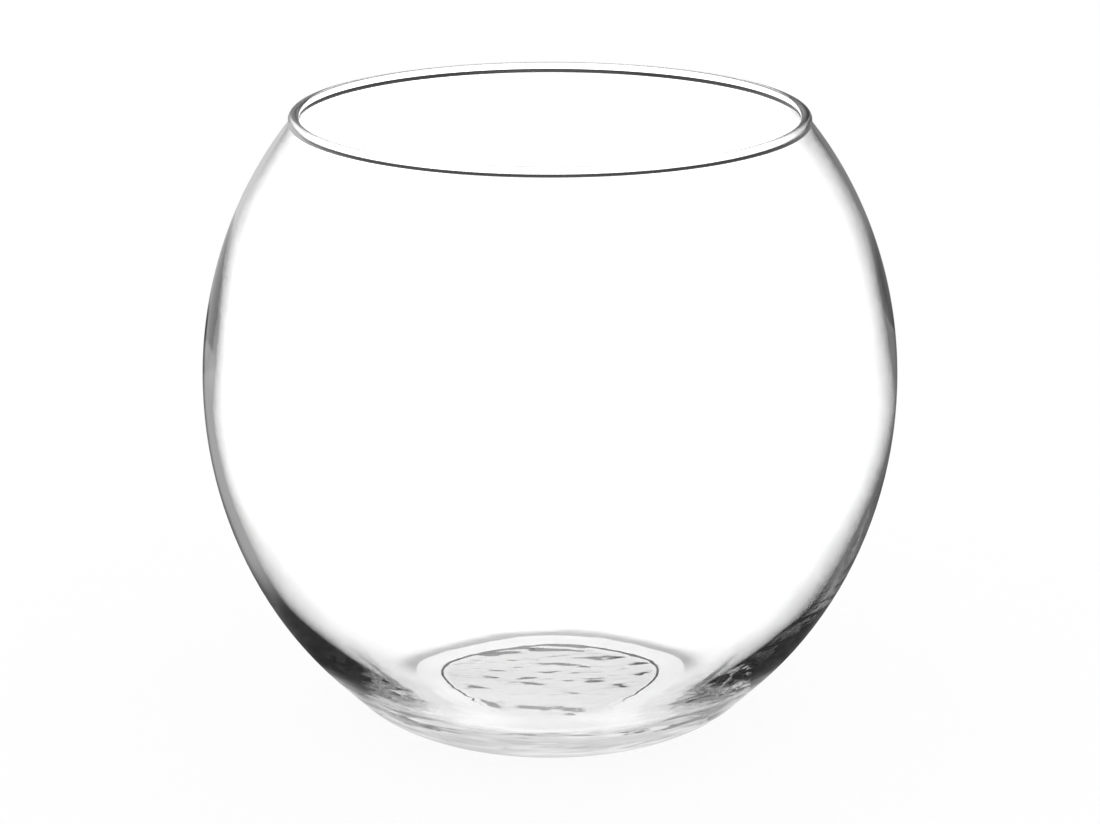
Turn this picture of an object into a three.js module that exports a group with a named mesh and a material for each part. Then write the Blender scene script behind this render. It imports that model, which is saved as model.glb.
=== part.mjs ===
// A clear glass bubble-bowl vase: one gather of soda-lime glass, blown in a mould and fire-polished at the rim.
// Rim bead, wall, heel and base are stretches of the same glass, so the whole vase is one turned solid.
// Millimetres, +Z up. The origin is on the table, under the middle of the bowl.
import * as THREE from "three";

// Outside of the glass
const BODY_DIAMETER = 203; // widest, round the belly
const OVERALL_HEIGHT = 181; // from the table to the top of the rim
const BELLY_HEIGHT = 101.5; // from the table to the widest level
const RIM_DIAMETER = 150; // over the outside of the bead
const BEAD_THICKNESS = 3.2; // fire-polished bead round the mouth
const BEAD_OVERHANG = 0.5; // how far the bead stands out from the wall under it
const HEEL_DIAMETER = 137.4; // where the round of the belly ends and the lower wall runs straight
const HEEL_HEIGHT = 17; // level of that place
const BASE_DIAMETER = 104; // where the straight lower wall would meet the table
const HEEL_RADIUS = 28; // round between the lower wall and the base

// Thickness of the glass
const RIM_WALL = 2.2; // just under the bead
const BELLY_WALL = 3.4;
const HEEL_WALL = 4.7; // where the lower wall starts to run straight
const THICKENING_START = 0.6; // share of the way from belly to heel at which the wall starts to thicken
const BOTTOM_RADIUS = 63; // round of the inside between the heel and the floor
const FLOOR_THICKNESS = 3.6; // over the recess

// Underside: a flat ring that the vase stands on, round a shallow recess
const STANDING_WIDTH = 6.3;
const RECESS_DEPTH = 1;
const RECESS_SLOPE = 1.4; // width of the sloping wall of the recess

// Fineness of the turned surface
const TURN_STEPS = 64;
const WALL_STEPS = 10;
const BEAD_STEPS = 5;
const HEEL_STEPS = 6;
const BOTTOM_STEPS = 7;

const { lerp, smoothstep } = THREE.MathUtils;
const bodyRadius = BODY_DIAMETER / 2;
const beadRadius = BEAD_THICKNESS / 2;
const beadCentre = new THREE.Vector2(RIM_DIAMETER / 2 - beadRadius, OVERALL_HEIGHT - beadRadius);
const heelPoint = new THREE.Vector2(HEEL_DIAMETER / 2, HEEL_HEIGHT);
const floorLevel = RECESS_DEPTH + FLOOR_THICKNESS;

// The outside of the wall from the belly, where it is widest, up or down through one more point.
function bellyCurve(through) {
  const turn = Math.acos(through.x / bodyRadius);
  const rise = (through.y - BELLY_HEIGHT) / Math.sin(turn);
  const at = (angle) => new THREE.Vector2(bodyRadius * Math.cos(angle), BELLY_HEIGHT + rise * Math.sin(angle));
  const outward = (angle) => new THREE.Vector2(rise * Math.cos(angle), bodyRadius * Math.sin(angle)).normalize();
  return { turn, at, facing: (angle) => outward(angle).multiplyScalar(Math.sign(rise)) };
}

// The inside of a wall curve, with the thickness of the glass given by how far along the wall it is.
function insideOf(curve, thickness) {
  const at = (angle) => curve.at(angle).addScaledVector(curve.facing(angle), -thickness(angle / curve.turn));
  return { turn: curve.turn, at };
}

// The points of a circle by angle.
function circle(centre, radius) {
  return { at: (angle) => new THREE.Vector2(Math.cos(angle), Math.sin(angle)).multiplyScalar(radius).add(centre) };
}

// Points of a curve from one angle to another, both ends included.
function along(curve, from, to, steps) {
  return Array.from({ length: steps + 1 }, (_, i) => curve.at(lerp(from, to, i / steps)));
}

// The angle at which a wall curve runs into the round of the bead.
function meetsBead(curve) {
  let [outside, inside] = [0, curve.turn];
  for (let i = 0; i < 40; i += 1) {
    const middle = (outside + inside) / 2;
    if (curve.at(middle).distanceTo(beadCentre) > beadRadius) outside = middle;
    else inside = middle;
  }
  return outside;
}

// The wall above and below the belly
const outsideAbove = bellyCurve(new THREE.Vector2(RIM_DIAMETER / 2 - BEAD_OVERHANG, beadCentre.y));
const outsideBelow = bellyCurve(heelPoint);
const insideAbove = insideOf(outsideAbove, (share) => lerp(BELLY_WALL, RIM_WALL, smoothstep(share, 0, 1)));
const insideBelow = insideOf(outsideBelow, (share) =>
  lerp(BELLY_WALL, HEEL_WALL, smoothstep(share, THICKENING_START, 1)),
);

// The round of the heel, no larger than the straight lower wall has room for
const baseCorner = new THREE.Vector2(BASE_DIAMETER / 2, 0);
const lean = Math.atan2(heelPoint.y, heelPoint.x - baseCorner.x);
const heelRadius = Math.min(HEEL_RADIUS, heelPoint.distanceTo(baseCorner) / Math.tan(lean / 2));
const standingRadius = baseCorner.x - heelRadius * Math.tan(lean / 2);

// The underside: the recess and its sloping wall, out to the flat ring
function recess() {
  const edge = standingRadius - STANDING_WIDTH;
  return [
    new THREE.Vector2(0, RECESS_DEPTH),
    new THREE.Vector2(edge - RECESS_SLOPE, RECESS_DEPTH),
    new THREE.Vector2(edge, 0),
  ];
}

// The heel, from the flat ring on the table up to the straight lower wall
function heel() {
  const round = circle(new THREE.Vector2(standingRadius, heelRadius), heelRadius);
  return along(round, -Math.PI / 2, lean - Math.PI / 2, HEEL_STEPS);
}

// The bead, from the outside of the wall up to the top of the rim and down to the inside
function bead(outsideEnd, insideEnd) {
  const round = circle(beadCentre, beadRadius);
  const top = Math.PI / 2;
  const start = outsideEnd.clone().sub(beadCentre).angle();
  const end = insideEnd.clone().sub(beadCentre).angle();
  const outsideHalf = along(round, start > top ? start - 2 * Math.PI : start, top, BEAD_STEPS);
  return [...outsideHalf, ...along(round, top, end, BEAD_STEPS).slice(1)];
}

// The inside from the heel down to the floor, and the floor's middle
function bottom() {
  const facing = outsideBelow.facing(outsideBelow.turn);
  const start = insideBelow.at(insideBelow.turn);
  const centre = start.clone().addScaledVector(facing, -BOTTOM_RADIUS);
  const drop = Math.min((centre.y - floorLevel) / BOTTOM_RADIUS, 1);
  const round = circle(centre, BOTTOM_RADIUS);
  const points = along(round, Math.atan2(facing.y, facing.x), -Math.asin(drop), BOTTOM_STEPS).slice(1);
  return [...points, new THREE.Vector2(0, points.at(-1).y)];
}

// The whole section of the glass, from the middle of the underside round the wall to the middle of the floor
function section() {
  const outsideEnd = meetsBead(outsideAbove);
  const insideEnd = meetsBead(insideAbove);
  return [
    ...recess(),
    ...heel(),
    ...along(outsideBelow, outsideBelow.turn, 0, WALL_STEPS),
    ...along(outsideAbove, 0, outsideEnd, WALL_STEPS).slice(1, -1),
    ...bead(outsideAbove.at(outsideEnd), insideAbove.at(insideEnd)),
    ...along(insideAbove, insideEnd, 0, WALL_STEPS).slice(1, -1),
    ...along(insideBelow, 0, insideBelow.turn, WALL_STEPS),
    ...bottom(),
  ];
}

const glass = new THREE.MeshStandardMaterial({
  color: 0xf4f7f6,
  roughness: 0.02,
  metalness: 0,
  transparent: true,
  opacity: 0.35,
});

const bowl = new THREE.Mesh(new THREE.LatheGeometry(section(), TURN_STEPS), glass);
bowl.name = "glass_bowl";
bowl.rotation.x = Math.PI / 2;

const vase = new THREE.Group();
vase.add(bowl);

export default vase;
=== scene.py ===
import math
import random

import bmesh
import bpy
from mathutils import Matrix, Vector, noise


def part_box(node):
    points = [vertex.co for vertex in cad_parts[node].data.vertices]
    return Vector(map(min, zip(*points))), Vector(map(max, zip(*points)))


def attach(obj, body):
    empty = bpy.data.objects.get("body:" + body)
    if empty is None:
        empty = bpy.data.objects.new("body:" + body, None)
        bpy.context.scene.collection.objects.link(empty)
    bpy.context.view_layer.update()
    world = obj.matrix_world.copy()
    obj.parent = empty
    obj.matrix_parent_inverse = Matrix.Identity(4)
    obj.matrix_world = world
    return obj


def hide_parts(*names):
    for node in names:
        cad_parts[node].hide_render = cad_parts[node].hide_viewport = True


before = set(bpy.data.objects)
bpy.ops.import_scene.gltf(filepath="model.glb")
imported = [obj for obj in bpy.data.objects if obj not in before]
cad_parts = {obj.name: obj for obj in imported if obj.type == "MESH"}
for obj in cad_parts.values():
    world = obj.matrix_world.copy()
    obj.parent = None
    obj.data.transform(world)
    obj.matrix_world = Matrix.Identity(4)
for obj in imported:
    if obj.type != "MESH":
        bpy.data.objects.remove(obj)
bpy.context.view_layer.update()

# The bowl: one gather of clear soda-lime glass, blown in a mould, cracked off at the top and
# fire-polished there to a bead. It stands on a flat ring round a shallow recess, and its thick base
# keeps the marks of the mould and of the chill.
MM = 0.001
bowl_low, bowl_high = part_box("glass_bowl")
body_radius = (bowl_high[0] - bowl_low[0]) / 2
rim_top = bowl_high[2]
belly_height = 101.5 * MM
rim_radius = 75 * MM
bead_radius = 1.6 * MM
bead_overhang = 1.4 * MM  # how far the bead stands out from the wall under it
bead_centre = Vector((rim_radius - bead_radius, rim_top - bead_radius))
neck_length = 0.2 * MM  # of the hollow round between the bead and the wall, on either side of the corner
heel_point = Vector((68.7, 17)) * MM  # radius and height at which the lower wall starts to run straight
base_radius = 52 * MM  # where that straight wall would meet the table
heel_round = 28 * MM
rim_wall = 1.5 * MM
belly_wall = 3.4 * MM
heel_wall = 4.7 * MM
thinning_end = 0.6  # share of the way from the belly up to the rim at which the wall is thinnest
thickening_start = 0.6  # share of the way from the belly down to the heel at which it starts to thicken
bottom_round = 63 * MM
bottom_stop = 0.3  # angle that the round of the bottom is still short of level where it ends
floor_level = 4.6 * MM
floor_ease = 1.0 * MM  # height over which the round of the bottom eases into the floor
recess_radius = 33.16 * MM
recess_depth = 1.0 * MM
recess_wall = 0.8 * MM  # width of the recess's sloping wall

# How finely each stretch of the glass is divided
turn_steps = 288
recess_steps = 60
recess_wall_steps = 8
ring_steps = 6
heel_steps = 10
lower_wall_steps = 22
upper_wall_steps = 36
neck_steps = 6
bead_steps = 12
inner_lower_steps = 24
bottom_steps = 44
floor_steps = 28


def belly_curve(through):
    """The outside of the wall from the belly through one more point: its turn, place and facing."""
    turn = math.acos(through.x / body_radius)
    rise = (through.y - belly_height) / math.sin(turn)

    def at(angle):
        return Vector((body_radius * math.cos(angle), belly_height + rise * math.sin(angle)))

    def facing(angle):
        outward = Vector((rise * math.cos(angle), body_radius * math.sin(angle))).normalized()
        return outward * math.copysign(1, rise)

    return turn, at, facing


def smooth(share):
    """A soft change from 0 to 1."""
    share = min(max(share, 0), 1)
    return share * share * (3 - 2 * share)


def stretch(at, start, end, steps):
    """Points of a curve from one angle to another, both ends included."""
    return [at(start + (end - start) * i / steps) for i in range(steps + 1)]


def soft_corner(before, corner, after, steps):
    """A round in place of a corner, which leaves along one side and arrives along the other."""
    shares = [i / steps for i in range(steps + 1)]
    return [before.lerp(corner, share).lerp(corner.lerp(after, share), share) for share in shares]


def round_about(centre, radius):
    """The points of a circle by angle."""
    return lambda angle: centre + radius * Vector((math.cos(angle), math.sin(angle)))


def angle_about(centre, point):
    """The angle at which a point lies about a centre, from the level line that points outwards."""
    return (point - centre).angle_signed(Vector((1, 0)))


def meets_bead(at, turn, halvings=40):
    """The angle at which a wall curve runs into the round of the bead."""
    outside, inside = 0.0, turn
    for _ in range(halvings):
        middle = (outside + inside) / 2
        if (at(middle) - bead_centre).length > bead_radius:
            outside = middle
        else:
            inside = middle
    return outside


def eased_max(first, second, ease):
    """The higher of two heights, with a smooth change from one to the other."""
    overlap = max(ease - abs(first - second), 0) / ease
    return max(first, second) + overlap * overlap * ease / 4


out_turn_up, out_up, up_facing = belly_curve(Vector((rim_radius - bead_overhang, bead_centre.y)))
out_turn_down, out_down, down_facing = belly_curve(heel_point)


def in_up(angle):
    """The inside of the wall above the belly, where the glass thins towards the shoulder."""
    wall = belly_wall + (rim_wall - belly_wall) * smooth(angle / out_turn_up / thinning_end)
    return out_up(angle) - wall * up_facing(angle)


def in_down(angle):
    """The inside of the wall below the belly, where the glass thickens into the heel."""
    share = (angle / out_turn_down - thickening_start) / (1 - thickening_start)
    wall = belly_wall + (heel_wall - belly_wall) * smooth(share)
    return out_down(angle) - wall * down_facing(angle)


# The section of the underside, from its middle over the recess and down the recess's wall
underside = [Vector((recess_radius * i / recess_steps, recess_depth)) for i in range(recess_steps)]
for i in range(recess_wall_steps + 1):
    share = i / recess_wall_steps
    underside.append(Vector((recess_radius + recess_wall * share, recess_depth * (1 - smooth(share)))))

# Where the bead meets the wall, and where the round between them starts on each
out_end = meets_bead(out_up, out_turn_up)
in_end = meets_bead(in_up, out_turn_up)
bead_at = round_about(bead_centre, bead_radius)
bead_top = math.pi / 2
bead_start = angle_about(bead_centre, out_up(out_end))
bead_end = angle_about(bead_centre, in_up(in_end)) % math.tau
out_neck = out_end - neck_length / body_radius
in_neck = in_end - neck_length / body_radius
out_bead = bead_start + neck_length / bead_radius
in_bead = bead_end - neck_length / bead_radius

# The section of the outside, from the standing ring over the heel and the belly to the top of the bead
lean = math.atan2(heel_point.y, heel_point.x - base_radius)
heel_centre = Vector((base_radius - heel_round * math.tan(lean / 2), heel_round))
heel_at = round_about(heel_centre, heel_round)
ring_end = Vector((heel_centre.x, 0))
outside = [underside[-1].lerp(ring_end, i / ring_steps) for i in range(ring_steps)]
outside += stretch(heel_at, -math.pi / 2, lean - math.pi / 2, heel_steps)
outside += stretch(out_down, out_turn_down, 0, lower_wall_steps)
outside += stretch(out_up, 0, out_neck, upper_wall_steps)[1:-1]
outside += soft_corner(out_up(out_neck), bead_at(bead_start), bead_at(out_bead), neck_steps)
outside += stretch(bead_at, out_bead, bead_top, bead_steps)[1:]

# The section of the inside, from the top of the bead down the wall and the bottom to the floor's middle
inside = stretch(bead_at, bead_top, in_bead, bead_steps)
inside += soft_corner(bead_at(in_bead), bead_at(bead_end), in_up(in_neck), neck_steps)[1:]
inside += stretch(in_up, in_neck, 0, upper_wall_steps)[1:-1]
inside += stretch(in_down, 0, out_turn_down, inner_lower_steps)
bottom_centre = inside[-1] - bottom_round * down_facing(out_turn_down)
bottom_at = round_about(bottom_centre, bottom_round)
bottom_start = angle_about(bottom_centre, inside[-1])
bottom = stretch(bottom_at, bottom_start, bottom_stop - math.pi / 2, bottom_steps)[1:]
inside += [Vector((point.x, eased_max(point.y, floor_level, floor_ease))) for point in bottom]
floor_edge = inside[-1].x
inside += [Vector((floor_edge * (1 - i / floor_steps), floor_level)) for i in range(1, floor_steps + 1)]

# What the chill left under the base: broad swells, fine creases and short wrinkles
swell_height = 0.5 * MM
swell_width = 11 * MM
swell_depth = 7 * MM
crease_height = 0.11 * MM
crease_width = 5 * MM
crease_depth = 2.6 * MM
crease_layer = 4  # of the noise, so that the creases don't follow the swells
wrinkle_count = 30
wrinkle_seed = 11
wrinkle_reach = 3  # lengths of a wrinkle past which it has faded out
recess_calm = 2 * MM  # width along the wall of the recess over which the marks fade out
wrinkles = []
scatter = random.Random(wrinkle_seed)
for _ in range(wrinkle_count):
    off_middle = recess_radius * scatter.uniform(0.1, 0.9)
    turned = scatter.uniform(0, math.tau)
    width = scatter.uniform(0.9, 3.2) * MM
    length = width * scatter.uniform(1.2, 3.0)
    height = width * scatter.choice((-1, 1)) * scatter.uniform(0.05, 0.12)
    wrinkles.append((off_middle * Vector((math.cos(turned), math.sin(turned))), length, width, height))


def chill_marks(place):
    """The uneven underside, with wrinkles that lie along the round."""
    swell = Vector((place.x / swell_width, place.y / swell_depth, 0))
    crease = Vector((place.x / crease_width, place.y / crease_depth, crease_layer))
    lift = swell_height * noise.noise(swell)
    lift += crease_height * noise.noise(crease)
    for middle, length, width, height in wrinkles:
        outward = middle.normalized()
        off = place.xy - middle
        if off.length < wrinkle_reach * length:
            lengthwise = off.cross(outward) / length
            crosswise = off.dot(outward) / width
            lift += height * math.exp(-lengthwise ** 2 - crosswise ** 2)
    return Vector((0, 0, lift * smooth((recess_radius - place.xy.length) / recess_calm)))


# What the mould left on the outside: waves of the wall that fade out towards the heel and the rim
skin_height = 0.04 * MM
skin_size = 28 * MM
skin_start = 6 * MM  # level above which the waves grow
skin_heel_fade = 20 * MM
skin_rim_fade = 10 * MM


def mould_skin(place):
    """The outside follows the mould closely, with the faintest waves on the wall."""
    off_heel = smooth((place.z - skin_start) / skin_heel_fade)
    off_rim = smooth((rim_top - place.z) / skin_rim_fade)
    wall_only = off_heel * off_rim
    wave = skin_height * wall_only * noise.noise(place / skin_size)
    return wave * Vector((place.x, place.y, 0)).normalized()


# What the breath left on the inside: sides that are thin, most on the right, and ripples low down
thin_level = 86 * MM
thin_spread = 35 * MM
thin_sides = 1.1 * MM
thin_right = 0.75 * MM  # how far the inside lies to the right
breath_height = 0.04 * MM
breath_size = 30 * MM
ripple_top = 24 * MM
ripple_fade = 12 * MM
floor_calm = 12 * MM  # reach from the middle over which the floor's ripples grow
heel_start = 34 * MM  # reach from the middle at which the heel's ripples start
heel_fade = 8 * MM
floor_ripple = (0.05 * MM, 2.2, 3.5 * MM)  # height, bends on the way round, and width
heel_ripples = ((0.14 * MM, 3.2, 4.5 * MM), (0.05 * MM, 8.0, 2.2 * MM))


def ripple(along, reach, height, bends, width):
    """A ripple that runs round the bowl."""
    return height * noise.noise(bends * along + Vector((0, 0, reach / width)))


def blown_inside(place):
    """The inside was shaped by breath, with no mould to hold it even."""
    reach = place.xy.length
    along = Vector((place.x, place.y, 0)) / max(reach, MM)
    thin = math.exp(-((place.z - thin_level) / thin_spread) ** 2)
    thinner = thin_sides * along.x * along.x + breath_height * noise.noise(place / breath_size)
    aside = thin * (Vector((thin_right, 0, 0)) + thinner * along)
    lift = ripple(along, reach, *floor_ripple) * smooth(reach / floor_calm)
    for heel_ripple in heel_ripples:
        lift += ripple(along, reach, *heel_ripple) * smooth((reach - heel_start) / heel_fade)
    return aside + Vector((0, 0, lift * smooth((ripple_top - place.z) / ripple_fade)))


# The three sections are turned round the axis, made uneven and joined where they meet
seam_gap = 0.005 * MM
bowl_mesh = bmesh.new()
for profile, uneven in ((underside, chill_marks), (outside, mould_skin), (inside, blown_inside)):
    side = bmesh.new()
    line = [side.verts.new((point.x, 0, point.y)) for point in profile]
    for lower, upper in zip(line, line[1:]):
        side.edges.new((lower, upper))
    bmesh.ops.spin(
        side,
        geom=side.verts[:] + side.edges[:],
        cent=(0, 0, 0),
        axis=(0, 0, 1),
        angle=math.tau,
        steps=turn_steps,
        use_merge=True,
    )
    for vert in side.verts:
        vert.co += uneven(vert.co)
    side_data = bpy.data.meshes.new("side")
    side.to_mesh(side_data)
    side.free()
    bowl_mesh.from_mesh(side_data)
    bpy.data.meshes.remove(side_data)
bmesh.ops.remove_doubles(bowl_mesh, verts=bowl_mesh.verts[:], dist=seam_gap)
bmesh.ops.recalc_face_normals(bowl_mesh, faces=bowl_mesh.faces[:])
bowl_data = bpy.data.meshes.new("bowl")
bowl_mesh.to_mesh(bowl_data)
bowl_mesh.free()
bowl_data.shade_smooth()
bowl = bpy.data.objects.new("bowl", bowl_data)
bpy.context.collection.objects.link(bowl)


def put(tree, socket, value):
    """Sets a socket to a number, or links another socket to it."""
    if isinstance(value, (int, float)):
        socket.default_value = value
    else:
        tree.links.new(value, socket)


def soft_step(tree, reading, between, values):
    """A soft change from the first value to the second while a reading passes between two marks."""
    node = tree.nodes.new("ShaderNodeMapRange")
    node.interpolation_type = "SMOOTHSTEP"
    ends = ("From Min", "From Max", "To Min", "To Max")
    for name, value in zip(ends, (*between, *values)):
        put(tree, node.inputs[name], value)
    put(tree, node.inputs["Value"], reading)
    return node.outputs["Result"]


# Clear glass, with cords from the melt that lie level, and patches that wiping left less glossy
pure_tint = (1.0, 1.0, 1.0, 1)
cord_tint = (0.974, 0.975, 0.975, 1)
cord_scale = (30, 30, 90)
cord_detail = 3.0
wave_height = 0.12 * MM
wiped_scale = 22.0
wiped_detail = 4.0
wiped_roughness = 0.012
clear_glass = bpy.data.materials.new("clear_glass")
clear_glass.use_nodes = True
glass = clear_glass.node_tree
glass_shader = glass.nodes["Principled BSDF"]
glass_shader.inputs["IOR"].default_value = 1.5
glass_shader.inputs["Transmission Weight"].default_value = 1.0
glass_place = glass.nodes.new("ShaderNodeTexCoord")
glass_drawn = glass.nodes.new("ShaderNodeMapping")
glass_drawn.inputs["Scale"].default_value = cord_scale
glass.links.new(glass_place.outputs["Object"], glass_drawn.inputs["Vector"])
glass_cords = glass.nodes.new("ShaderNodeTexNoise")
glass_cords.inputs["Scale"].default_value = 1.0
glass_cords.inputs["Detail"].default_value = cord_detail
glass.links.new(glass_drawn.outputs[0], glass_cords.inputs["Vector"])
glass_tint = glass.nodes.new("ShaderNodeMix")
glass_tint.data_type = "RGBA"
glass_tint.inputs["A"].default_value = pure_tint
glass_tint.inputs["B"].default_value = cord_tint
glass_streaks = soft_step(glass, glass_cords.outputs[0], between=(0.4, 0.7), values=(0.0, 1.0))
put(glass, glass_tint.inputs["Factor"], glass_streaks)
glass.links.new(glass_tint.outputs["Result"], glass_shader.inputs["Base Color"])
glass_wiped = glass.nodes.new("ShaderNodeTexNoise")
glass_wiped.inputs["Scale"].default_value = wiped_scale
glass_wiped.inputs["Detail"].default_value = wiped_detail
glass.links.new(glass_place.outputs["Object"], glass_wiped.inputs["Vector"])
glass_dull = soft_step(glass, glass_wiped.outputs[0], between=(0.45, 0.75), values=(0.0, wiped_roughness))
put(glass, glass_shader.inputs["Roughness"], glass_dull)
glass_level = glass.nodes.new("ShaderNodeSeparateXYZ")
glass.links.new(glass_place.outputs["Object"], glass_level.inputs[0])
glass_settled = soft_step(glass, glass_level.outputs["Z"], between=(0.01, 0.04), values=(1.0, 0.2))
glass_waves = glass.nodes.new("ShaderNodeBump")
glass_waves.inputs["Distance"].default_value = wave_height
put(glass, glass_waves.inputs["Strength"], glass_settled)
glass.links.new(glass_cords.outputs[0], glass_waves.inputs["Height"])
glass.links.new(glass_waves.outputs["Normal"], glass_shader.inputs["Normal"])
bowl_data.materials.append(clear_glass)
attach(bowl, "root")
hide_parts("glass_bowl")

# The table: a wide sweep of matt white card that lies level under the bowl and runs out past the
# picture on every side. The eye sees it white, but light that comes by way of the glass finds lighter
# and darker places painted on it as glow: painted light and painted shade, which the glass shows as its
# edges and base.
table_radius = 6.0
table_sides = 96
table_drop = 0.03 * MM  # keeps the card just clear of the standing ring
table_mesh = bmesh.new()
bmesh.ops.create_circle(table_mesh, cap_ends=True, segments=table_sides, radius=table_radius)
bmesh.ops.translate(table_mesh, vec=(0, 0, -table_drop), verts=table_mesh.verts[:])
table_data = bpy.data.meshes.new("table")
table_mesh.to_mesh(table_data)
table_mesh.free()
table = bpy.data.objects.new("table", table_data)
bpy.context.collection.objects.link(table)


def worked_out(tree, operation, first, second=0):
    """What an operation makes of two sockets, or of a socket and a number."""
    node = tree.nodes.new("ShaderNodeMath")
    node.operation = operation
    put(tree, node.inputs[0], first)
    put(tree, node.inputs[1], second)
    return node.outputs[0]


def either(tree, pick, at_none, at_full):
    """The first value where pick is 0 and the second where it is 1."""
    node = tree.nodes.new("ShaderNodeMix")
    for name, value in (("Factor", pick), ("A", at_none), ("B", at_full)):
        put(tree, node.inputs[name], value)
    return node.outputs["Result"]


def mixed(tree, share, first, second):
    """Two finishes, with this share of the second."""
    node = tree.nodes.new("ShaderNodeMixShader")
    for socket, value in zip(node.inputs, (share, first, second)):
        tree.links.new(value, socket)
    return node.outputs[0]


def light_after(tree, event):
    """1 for light that has met an event on its way, such as a Glossy one, and 0 for other light."""
    path = tree.nodes.new("ShaderNodeLightPath")
    return worked_out(tree, "GREATER_THAN", path.outputs[event + " Depth"], 0.5)


white_sweep = bpy.data.materials.new("white_sweep")
white_sweep.use_nodes = True
sweep = white_sweep.node_tree
sweep_card = sweep.nodes["Principled BSDF"]
sweep_card.inputs["Base Color"].default_value = (0.95, 0.95, 0.95, 1)
sweep_card.inputs["Roughness"].default_value = 1.0
sweep_card.inputs["Specular IOR Level"].default_value = 0.0
# The card's glow carries painted light and painted shade, for light that comes by way of the glass
sweep_card.inputs["Emission Color"].default_value = (1, 1, 1, 1)
table_data.materials.append(white_sweep)
sweep_place = sweep.nodes.new("ShaderNodeTexCoord")
sweep_split = sweep.nodes.new("ShaderNodeSeparateXYZ")
sweep.links.new(sweep_place.outputs["Object"], sweep_split.inputs[0])
sweep_length = sweep.nodes.new("ShaderNodeVectorMath")
sweep_length.operation = "LENGTH"
sweep.links.new(sweep_place.outputs["Object"], sweep_length.inputs[0])
rightward = sweep_split.outputs["X"]
backward = sweep_split.outputs["Y"]
off_axis = sweep_length.outputs["Value"]
has_bounced = light_after(sweep, "Glossy")
came_through = light_after(sweep, "Transmission")

# Light that has bounced inside the glass finds painted reflections on the card: uneven rings under the
# bowl, a dark band of painted shade round it, and grey further off, painted lighter on the left
ring_scale = 420
patch_scale = 25
ring_place = sweep.nodes.new("ShaderNodeCombineXYZ")
for name, reading, scale in (
    ("X", off_axis, ring_scale),
    ("Y", rightward, patch_scale),
    ("Z", backward, patch_scale),
):
    put(sweep, ring_place.inputs[name], worked_out(sweep, "MULTIPLY", reading, scale))
ring_noise = sweep.nodes.new("ShaderNodeTexNoise")
ring_noise.inputs["Scale"].default_value = 1.0
sweep.links.new(ring_place.outputs[0], ring_noise.inputs["Vector"])
grey_rings = soft_step(sweep, ring_noise.outputs[0], between=(0.35, 0.65), values=(0.58, 0.92))
grey_far = soft_step(sweep, rightward, between=(-0.25, 0.25), values=(0.38, 0.13))
grey_edge = soft_step(sweep, rightward, between=(-0.25, 0.25), values=(0.62, 0.20))
grey_far = soft_step(sweep, off_axis, between=(0.38, 0.52), values=(grey_far, grey_edge))
grey_inside = soft_step(sweep, off_axis, between=(0.06, 0.08), values=(grey_rings, 0.03))
grey_inside = soft_step(sweep, off_axis, between=(0.105, 0.15), values=(grey_inside, grey_far))

# Light that the outside of the glass mirrors finds a dark wedge painted behind the bowl as shade, which
# draws its outline
wedge_slope = 0.35
wedge_slant = worked_out(sweep, "MULTIPLY", backward, wedge_slope)
wedge_past = worked_out(sweep, "SUBTRACT", worked_out(sweep, "ABSOLUTE", rightward), wedge_slant)
grey_mirrored = soft_step(sweep, wedge_past, between=(0.085, 0.12), values=(0.12, grey_far))
grey_mirrored = soft_step(sweep, backward, between=(0.46, 0.56), values=(grey_mirrored, grey_far))
grey_mirrored = soft_step(sweep, backward, between=(0.0, 0.05), values=(grey_inside, grey_mirrored))
# This emission paints the reflections and shade that bounced light finds, in place of the card's own
# shading
painted_reflection_glow = sweep.nodes.new("ShaderNodeEmission")
painted_reflection_strength = either(sweep, came_through, grey_mirrored, grey_inside)
sweep.links.new(painted_reflection_strength, painted_reflection_glow.inputs["Strength"])

# Light that comes straight through the glass finds painted shade and painted light on the card: a greyer
# recess, a painted shadow line round the back of the standing ring, and card that glows lighter behind
# the sides than behind the middle
painted_recess_shade = soft_step(sweep, off_axis, between=(0.030, 0.036), values=(0.66, 0.90))
painted_shadow_line = soft_step(sweep, backward, between=(-0.012, 0.008), values=(0.9, 0.30))
painted_under_shade = soft_step(sweep, off_axis, between=(0.0423, 0.0432), values=(painted_recess_shade, painted_shadow_line))
painted_side_glow = soft_step(sweep, rightward, between=(0.05, 0.085), values=(0.6, 1.15))
painted_side_glow = soft_step(sweep, rightward, between=(-0.085, -0.05), values=(1.6, painted_side_glow))
painted_glow_behind = soft_step(sweep, backward, between=(0.10, 0.18), values=(0.9, painted_side_glow))
painted_glow_through = soft_step(sweep, off_axis, between=(0.0445, 0.053), values=(painted_under_shade, painted_glow_behind))
# The card glows with this painted light and painted shade only for light that came through the glass
painted_card_glow = worked_out(sweep, "MULTIPLY", came_through, painted_glow_through)
sweep.links.new(painted_card_glow, sweep_card.inputs["Emission Strength"])

# The eye sees the card white, with a trace of its shading left, so that the bowl keeps its shadow
white_share = 0.92
sweep_white = sweep.nodes.new("ShaderNodeEmission")
sweep_eye = sweep.nodes.new("ShaderNodeLightPath")
seen_white = worked_out(sweep, "MULTIPLY", sweep_eye.outputs["Is Camera Ray"], white_share)
by_glass = mixed(sweep, has_bounced, sweep_card.outputs[0], painted_reflection_glow.outputs[0])
sweep_seen = mixed(sweep, seen_white, by_glass, sweep_white.outputs[0])
sweep.links.new(sweep_seen, sweep.nodes["Material Output"].inputs["Surface"])

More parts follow.
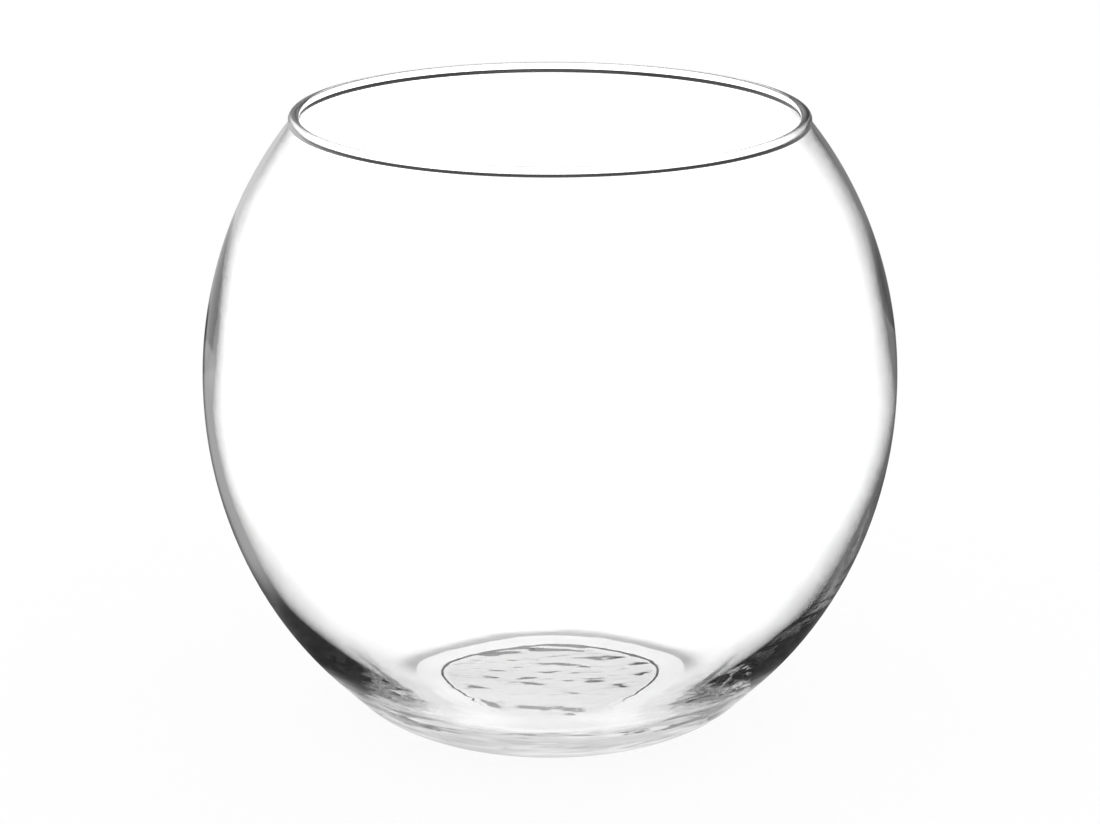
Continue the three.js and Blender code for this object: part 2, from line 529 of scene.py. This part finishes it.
# The studio: a white room that lights the table evenly from all sides and is white to the eye. Light
# that comes by way of the glass finds dark screens at the sides, an uneven grey one in the middle and
# a grey ceiling, and these draw the edges of the glass.
studio_white = 1.0
studio_light = 1.05
clutter_scale = 9.0
studio = bpy.data.worlds.new("studio")
bpy.context.scene.world = studio
studio.use_nodes = True
room = studio.node_tree
room_light = room.nodes["Background"]
room_light.inputs["Color"].default_value = (1, 1, 1, 1)
room_direction = room.nodes.new("ShaderNodeTexCoord")
room_split = room.nodes.new("ShaderNodeSeparateXYZ")
room.links.new(room_direction.outputs["Generated"], room_split.inputs[0])
to_right = room_split.outputs["X"]
to_side = worked_out(room, "ABSOLUTE", to_right)
upward = room_split.outputs["Z"]

# Light that comes straight through the glass finds a bright strip where the table ends, which is higher
# at the sides, and dark above it
room_lift = soft_step(room, to_side, between=(0.25, 0.5), values=(0.0, 0.12))
room_height = worked_out(room, "SUBTRACT", upward, room_lift)
room_through = soft_step(room, room_height, between=(0.0, 0.03), values=(3.0, 0.06))

# Light that has bounced finds, from low to high, the wall over the table, the side walls, the screens
# and the ceiling
room_low = soft_step(room, to_right, between=(-0.4, 0.4), values=(0.45, 0.13))
room_side = soft_step(room, to_right, between=(-0.25, 0.3), values=(0.75, 0.012))
room_side = soft_step(room, to_right, between=(-0.6, -0.42), values=(0.03, room_side))
room_clutter = room.nodes.new("ShaderNodeTexNoise")
room_clutter.inputs["Scale"].default_value = clutter_scale
room.links.new(room_direction.outputs["Generated"], room_clutter.inputs["Vector"])
room_uneven = soft_step(room, room_clutter.outputs[0], between=(0.35, 0.65), values=(0.4, 1.8))
room_screen = soft_step(room, to_right, between=(-0.25, -0.05), values=(0.02, 0.28))
room_screen = soft_step(room, to_right, between=(0.15, 0.4), values=(room_screen, 0.025))
room_screen = worked_out(room, "MULTIPLY", room_screen, room_uneven)
room_ceiling = soft_step(room, to_side, between=(0.2, 0.4), values=(0.40, 0.03))
room_bounced = soft_step(room, upward, between=(0.08, 0.18), values=(room_low, room_side))
room_bounced = soft_step(room, upward, between=(0.30, 0.38), values=(room_bounced, room_screen))
room_bounced = soft_step(room, upward, between=(0.62, 0.75), values=(room_bounced, room_ceiling))
room_seen = either(room, light_after(room, "Transmission"), studio_white, room_through)
room_seen = either(room, light_after(room, "Glossy"), room_seen, room_bounced)
room_seen = either(room, light_after(room, "Diffuse"), room_seen, studio_light)
room.links.new(room_seen, room_light.inputs["Strength"])

# The camera: a short telephoto that stands in front of the bowl, higher than the rim, and looks down
# at its middle. Light may bounce often enough to find its way out of the thick base.
camera_back = 0.9135
camera_height = 0.3697
camera_dip = 16.991  # degrees below level
light_bounces = 96
camera_data = bpy.data.cameras.new("camera")
camera_data.lens = 106.06
camera_data.sensor_width = 36
camera = bpy.data.objects.new("camera", camera_data)
camera.location = (0, -camera_back, camera_height)
camera.rotation_euler = (math.radians(90 - camera_dip), 0, 0)
bpy.context.collection.objects.link(camera)
bpy.context.scene.camera = camera
bpy.context.scene.view_settings.view_transform = "Standard"
bpy.context.scene.cycles.max_bounces = light_bounces
bpy.context.scene.cycles.glossy_bounces = light_bounces
bpy.context.scene.cycles.transmission_bounces = light_bounces
